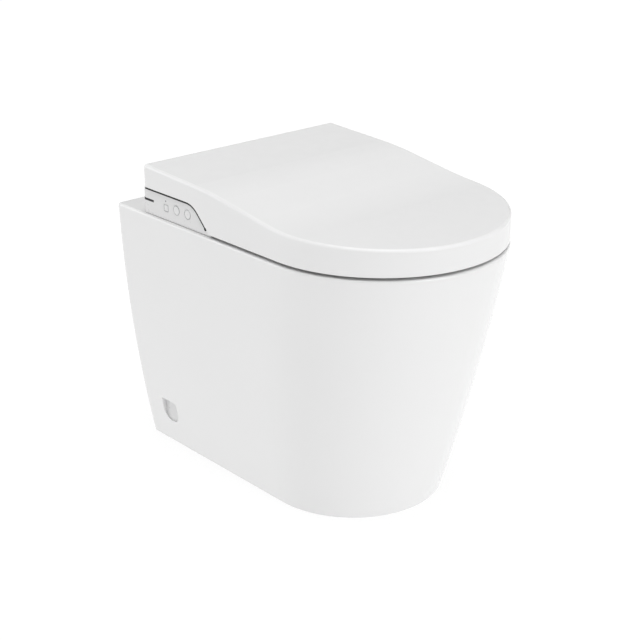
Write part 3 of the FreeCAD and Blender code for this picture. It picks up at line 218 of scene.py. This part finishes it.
MAT["rubber_black"] = rubbery("rubber_black", (0.03, 0.03, 0.03)).mat
MAT["rubber_white"] = rubbery("rubber_white", (0.62, 0.62, 0.61), 0.5).mat
MAT["steel"] = steely("stainless_steel", (0.60, 0.60, 0.61)).mat
MAT["zinc"] = steely("zinc_plate", (0.62, 0.62, 0.58), 0.34, (1.0, 6.0, 1.0)).mat
MAT["brass"] = steely("turned_brass", (0.73, 0.55, 0.28), 0.25, (1.0, 14.0, 1.0)).mat
MAT["board"] = moulded("circuit_board", (0.03, 0.14, 0.06), 0.35).mat
MAT["foil"] = steely("aluminium_foil", (0.80, 0.80, 0.80), 0.3).mat
MAT["hose"] = rubbery("silicone_hose", (0.55, 0.58, 0.60), 0.4).mat

WEAR = {
    "ceramic_pan": "ceramic", "ceramic_bowl": "ceramic", "ceramic_trapway": "ceramic", "ceramic_flush_channel": "ceramic",
    "flush_inlet_seal": "rubber_black", "floor_bracket_right": "zinc", "floor_bracket_left": "zinc",
    "side_fixing_bushes": "grey_plastic", "side_fixing_screws": "steel", "side_hole_caps": "panel_white",
    "mounting_plate": "steel", "plate_bolts": "steel", "plate_washers": "rubber_black", "plate_nuts": "brass",
    "module_chassis": "inner_white", "module_cover": "shell_white", "cover_screws": "steel",
    "side_panel_right": "panel_white", "side_trim_right": "trim_black", "side_panel_left": "panel_white", "side_trim_left": "trim_black",
    "ir_window": "window", "wash_button": "button_white", "dry_button": "button_white", "stop_button": "button_white",
    "button_membrane": "rubber_white", "button_board": "board", "control_board": "board", "power_module": "black_plastic",
    "power_inlet_gland": "black_plastic", "water_inlet_fitting": "brass", "water_valve": "grey_plastic", "water_pump": "black_plastic",
    "hose_valve_pump": "hose", "water_heater_tank": "grey_plastic", "hose_pump_tank": "hose", "hose_tank_nozzle": "hose",
    "nozzle_wand": "seat_white", "nozzle_guard": "seat_white", "nozzle_housing": "inner_white", "nozzle_pinion": "inner_white",
    "nozzle_motor": "steel", "dryer_housing": "black_plastic", "dryer_wheel": "black_plastic", "dryer_motor": "steel",
    "dryer_heater": "brass", "dryer_flap": "seat_white", "dryer_flap_pin": "steel",
    "lid_damper": "grey_plastic", "lid_damper_shaft": "steel", "seat_damper": "grey_plastic", "seat_damper_shaft": "steel",
    "seat_ring_top": "seat_white", "seat_ring_bottom": "seat_white", "seat_heater_foil": "foil", "seat_sensor": "board",
    "seat_buffers": "rubber_white", "lid_shell": "lid_white", "lid_liner": "lid_white", "lid_buffers": "rubber_white",
}
for name, key in WEAR.items():
    o = nodes[name]
    o.data.materials.clear()
    o.data.materials.append(MAT[key])

# ---------------------------------------------------------------- added detail
# grey used for the painted shade rings round the keys
MAT["key_rim_painted_shade"] = moulded("key_rim_painted_shade", (0.33, 0.34, 0.35), 0.4, 1500.0, 0.00001).mat
MAT["lens"] = moulded("status_lens", (0.30, 0.31, 0.32), 0.15, 1500.0, 0.000005, coat=0.5).mat
MM = 0.001


def piece(name, bm, mat, body, smooth=True):
    bmesh.ops.recalc_face_normals(bm, faces=bm.faces)
    for f in bm.faces:
        f.smooth = smooth
    m = bpy.data.meshes.new(name)
    bm.to_mesh(m)
    bm.free()
    o = bpy.data.objects.new(name, m)
    scene.collection.objects.link(o)
    m.materials.append(MAT[mat])
    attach(o, body)
    return o


def loop_bridge(bm, rings, close_ring, close_path):
    n = len(rings[0])
    for i in range(len(rings) - (0 if close_path else 1)):
        a, b = rings[i], rings[(i + 1) % len(rings)]
        for j in range(n if close_ring else n - 1):
            bm.faces.new((a[j], a[(j + 1) % n], b[(j + 1) % n], b[j]))


def flat_strip(bm, path, width, x_low, x_top, closed):
    """A thin raised strip on a face that looks along -X: path is (y, z) in mm, width in mm or one for each point."""
    k = len(path)
    rings = []
    for i, (y, z) in enumerate(path):
        if closed:
            p0, p1 = path[i - 1], path[(i + 1) % k]
        else:
            p0, p1 = path[max(i - 1, 0)], path[min(i + 1, k - 1)]
        ty, tz = p1[0] - p0[0], p1[1] - p0[1]
        l = math.hypot(ty, tz) or 1.0
        ny, nz = -tz / l, ty / l
        w = (width[i] if isinstance(width, (list, tuple)) else width) / 2
        prof = [(-w, x_low), (-w, x_top * 0.6 + x_low * 0.4), (-w * 0.6, x_top), (w * 0.6, x_top), (w, x_top * 0.6 + x_low * 0.4), (w, x_low)]
        rings.append([bm.verts.new((x * MM, (y + ny * u) * MM, (z + nz * u) * MM)) for u, x in prof])
    loop_bridge(bm, rings, True, closed)
    if not closed:
        bm.faces.new(rings[0])
        bm.faces.new(rings[-1][::-1])


def circle_path(y, z, r, a0=0.0, a1=360.0, n=72):
    closed = abs(a1 - a0) >= 360.0
    m = n if closed else n + 1
    return [(y + r * math.cos(math.radians(a0 + (a1 - a0) * i / n)), z + r * math.sin(math.radians(a0 + (a1 - a0) * i / n))) for i in range(m)]


def square_path(y, z, half, r, n=8):
    pts = []
    for cy, cz, a in ((half - r, half - r, 0), (-(half - r), half - r, 90), (-(half - r), -(half - r), 180), (half - r, -(half - r), 270)):
        for i in range(n + 1):
            t_ = math.radians(a + 90.0 * i / n)
            pts.append((y + cy + r * math.cos(t_), z + cz + r * math.sin(t_)))
    return pts


def lathe(name, profile, centre, axis, mat, body, segments=64):
    """A turned piece: profile is (distance along the axis, radius) in mm, closed on itself."""
    bm = bmesh.new()
    rings = []
    for i in range(segments):
        a = 2 * math.pi * i / segments
        ring = []
        for d, r in profile:
            if axis == "Y":
                p_ = (centre[0] + r * math.cos(a), centre[1] + d, centre[2] + r * math.sin(a))
            else:
                p_ = (centre[0] + d, centre[1] + r * math.cos(a), centre[2] + r * math.sin(a))
            ring.append(bm.verts.new([c * MM for c in p_]))
        rings.append(ring)
    loop_bridge(bm, rings, True, True)
    bmesh.ops.remove_doubles(bm, verts=bm.verts, dist=1e-7)
    return piece(name, bm, mat, body)


# painted shade: grey rings along the rims of the three keys stand for the shade at their edges, painted heavier on
# their upper front side as a painted shadow
FACE = -183.68
bm = bmesh.new()
path = square_path(159.5, 419.0, 4.75, 1.3)
flat_strip(bm, path, [0.95 if q_[0] < 157.0 or q_[1] < 415.5 else 0.6 for q_ in path], FACE, FACE - 0.07, True)
piece("wash_key_painted_shade_ring", bm, "key_rim_painted_shade", "wash_key")
bm = bmesh.new()
path = circle_path(134.3, 421.3, 6.7)
n_ = len(path)
# ring widens toward the upper front, where the painted shadow is heaviest
shadow_side_width = [0.45 + 1.05 * max(0.0, math.cos(math.radians(360.0 * i / n_ - 150.0))) ** 0.8 for i in range(n_)]
flat_strip(bm, path, shadow_side_width, FACE, FACE - 0.07, True)
piece("dry_key_painted_shade_ring", bm, "key_rim_painted_shade", "dry_key")
bm = bmesh.new()
path = circle_path(107.8, 421.3, 6.7)
# ring widens toward one side, where the painted shadow is heaviest
shadow_side_width = [0.6 + 0.4 * max(0.0, math.cos(math.radians(360.0 * i / n_ - 200.0))) for i in range(n_)]
flat_strip(bm, path, shadow_side_width, FACE, FACE - 0.07, True)
piece("stop_key_painted_shade_ring", bm, "key_rim_painted_shade", "stop_key")

# small status light above the rear key
lathe("status_light", [(0.4, 0.02), (0.4, 1.25), (-0.02, 1.25), (-0.16, 1.05), (-0.24, 0.6), (-0.26, 0.02)],
      (-183.7, 160.0, 429.3), "X", "lens", ROOT, 32)

# external thread on the water inlet, as a real helix
bm = bmesh.new()
pitch_, turns, per = 1.6, 6.5, 40
rings = []
steps = int(turns * per)
for i in range(steps + 1):
    a = 2 * math.pi * i / per
    fade = min(1.0, i / 14.0, (steps - i) / 14.0)
    y0 = 216.6 + pitch_ * i / per
    ring = []
    for dy, r in ((-0.62, THREAD_ROOT), (-0.16, THREAD_ROOT + 0.55 * fade), (0.16, THREAD_ROOT + 0.55 * fade), (0.62, THREAD_ROOT)):
        ring.append(bm.verts.new(((95.0 + r * math.cos(a)) * MM, (y0 + dy) * MM, (418.0 + r * math.sin(a)) * MM)))
    rings.append(ring)
loop_bridge(bm, rings, True, False)
bm.faces.new(rings[0])
bm.faces.new(rings[-1][::-1])
piece("water_inlet_thread", bm, "brass", ROOT)

# grip ribs round the flange of the power inlet
bm = bmesh.new()
for k in range(24):
    a = 2 * math.pi * k / 24
    ca, sa = math.cos(a), math.sin(a)
    pts = []
    for y in (214.05, 216.5):
        for r, u in ((6.7, -0.42), (7.4, -0.22), (7.4, 0.22), (6.7, 0.42)):
            pts.append(bm.verts.new(((-95.0 + r * ca - u * sa) * MM, y * MM, (418.0 + r * sa + u * ca) * MM)))
    a_, b_ = pts[:4], pts[4:]
    bm.faces.new(a_[::-1])
    bm.faces.new(b_)
    for j in range(4):
        bm.faces.new((a_[j], a_[(j + 1) % 4], b_[(j + 1) % 4], b_[j]))
piece("power_inlet_ribs", bm, "black_plastic", ROOT, smooth=False)

# three sealing lips inside the flush inlet
for k, y in enumerate((262.0, 268.0, 274.0)):
    lathe("flush_seal_lip_%d" % (k + 1), [(0.0, SEAL_R + 0.2), (0.3, SEAL_R - 1.2), (0.9, SEAL_R - 2.1), (1.5, SEAL_R - 2.0), (2.6, SEAL_R - 0.6), (3.4, SEAL_R + 0.2)],
          (0.0, y, 345.0), "Y", "rubber_black", ROOT, 96)

# ribs of the warm-air flap
for k, z in enumerate((409.0, 411.6, 414.2)):
    bm = bmesh.new()
    ring_a, ring_b = [], []
    for x, store in ((-54.2, ring_a), (-27.8, ring_b)):
        for dy, dz in ((0.0, -0.5), (-0.22, -0.38), (-0.34, 0.0), (-0.22, 0.38), (0.0, 0.5)):
            store.append(bm.verts.new((x * MM, (99.22 + dy) * MM, (z + dz) * MM)))
    loop_bridge(bm, [ring_a, ring_b], True, False)
    bm.faces.new(ring_a)
    bm.faces.new(ring_b[::-1])
    piece("dryer_flap_rib_%d" % (k + 1), bm, "seat_white", "flap")

# ---------------------------------------------------------------- floor, light
me = bpy.data.meshes.new("floor")
bm = bmesh.new()
bmesh.ops.create_circle(bm, cap_ends=True, segments=96, radius=60.0)
for v in bm.verts:
    v.co.z = -0.0004
bm.to_mesh(me)
bm.free()
floor = bpy.data.objects.new("floor", me)
scene.collection.objects.link(floor)
fm = bpy.data.materials.new("pale_floor")
fm.use_nodes = True
t = fm.node_tree
t.nodes.clear()
out = t.nodes.new("ShaderNodeOutputMaterial")
add = t.nodes.new("ShaderNodeAddShader")
em = t.nodes.new("ShaderNodeEmission")
em.inputs["Color"].default_value = (1, 1, 1, 1)
em.inputs["Strength"].default_value = 0.86
df = t.nodes.new("ShaderNodeBsdfDiffuse")
df.inputs["Color"].default_value = (0.17, 0.17, 0.17, 1)
t.links.new(em.outputs[0], add.inputs[0])
t.links.new(df.outputs[0], add.inputs[1])
t.links.new(add.outputs[0], out.inputs[0])
me.materials.append(fm)

world = bpy.data.worlds.new("studio")
scene.world = world
world.use_nodes = True
t = world.node_tree
t.nodes.clear()
out = t.nodes.new("ShaderNodeOutputWorld")
bg = t.nodes.new("ShaderNodeBackground")
white = t.nodes.new("ShaderNodeBackground")
white.inputs["Color"].default_value = (1, 1, 1, 1)
white.inputs["Strength"].default_value = 1.02
pick = t.nodes.new("ShaderNodeMixShader")
path = t.nodes.new("ShaderNodeLightPath")
gen = t.nodes.new("ShaderNodeTexCoord").outputs["Generated"]


def wmath(op, a, b=None):
    m = t.nodes.new("ShaderNodeMath")
    m.operation = op
    for i, v in enumerate((a, b)):
        if v is None:
            continue
        if isinstance(v, (int, float)):
            m.inputs[i].default_value = v
        else:
            t.links.new(v, m.inputs[i])
    return m.outputs[0]


def lobe(azimuth, elevation, width, height):
    """A soft pool of light (or shade, with a negative height) round one direction. Azimuth 0 is -Y, 90 is +X."""
    a, e = math.radians(azimuth), math.radians(elevation)
    d = t.nodes.new("ShaderNodeVectorMath")
    d.operation = "DOT_PRODUCT"
    t.links.new(gen, d.inputs[0])
    d.inputs[1].default_value = (math.sin(a) * math.cos(e), -math.cos(a) * math.cos(e), math.sin(e))
    m = t.nodes.new("ShaderNodeMapRange")
    m.interpolation_type = "SMOOTHSTEP"
    m.inputs["From Min"].default_value = math.cos(math.radians(width))
    m.inputs["From Max"].default_value = 1.0
    m.inputs["To Min"].default_value = 0.0
    m.inputs["To Max"].default_value = height
    t.links.new(d.outputs["Value"], m.inputs["Value"])
    return m.outputs[0]


LIGHT = 0.48
LOBES = [
    (-150.0, 0.0, 34.0, 3.5),        # low soft box behind on the left, along the flat side
    (4.0, 26.0, 24.0, 3.9),          # soft box in front
    (0.0, 88.0, 32.0, 4.3),          # overhead
]
total = None
for l in LOBES:
    v = lobe(*l)
    total = v if total is None else wmath("ADD", total, v)
t.links.new(wmath("MAXIMUM", wmath("ADD", total, LIGHT), 0.0), bg.inputs["Strength"])
t.links.new(path.outputs["Is Camera Ray"], pick.inputs[0])
t.links.new(bg.outputs[0], pick.inputs[1])
t.links.new(white.outputs[0], pick.inputs[2])
t.links.new(pick.outputs[0], out.inputs[0])
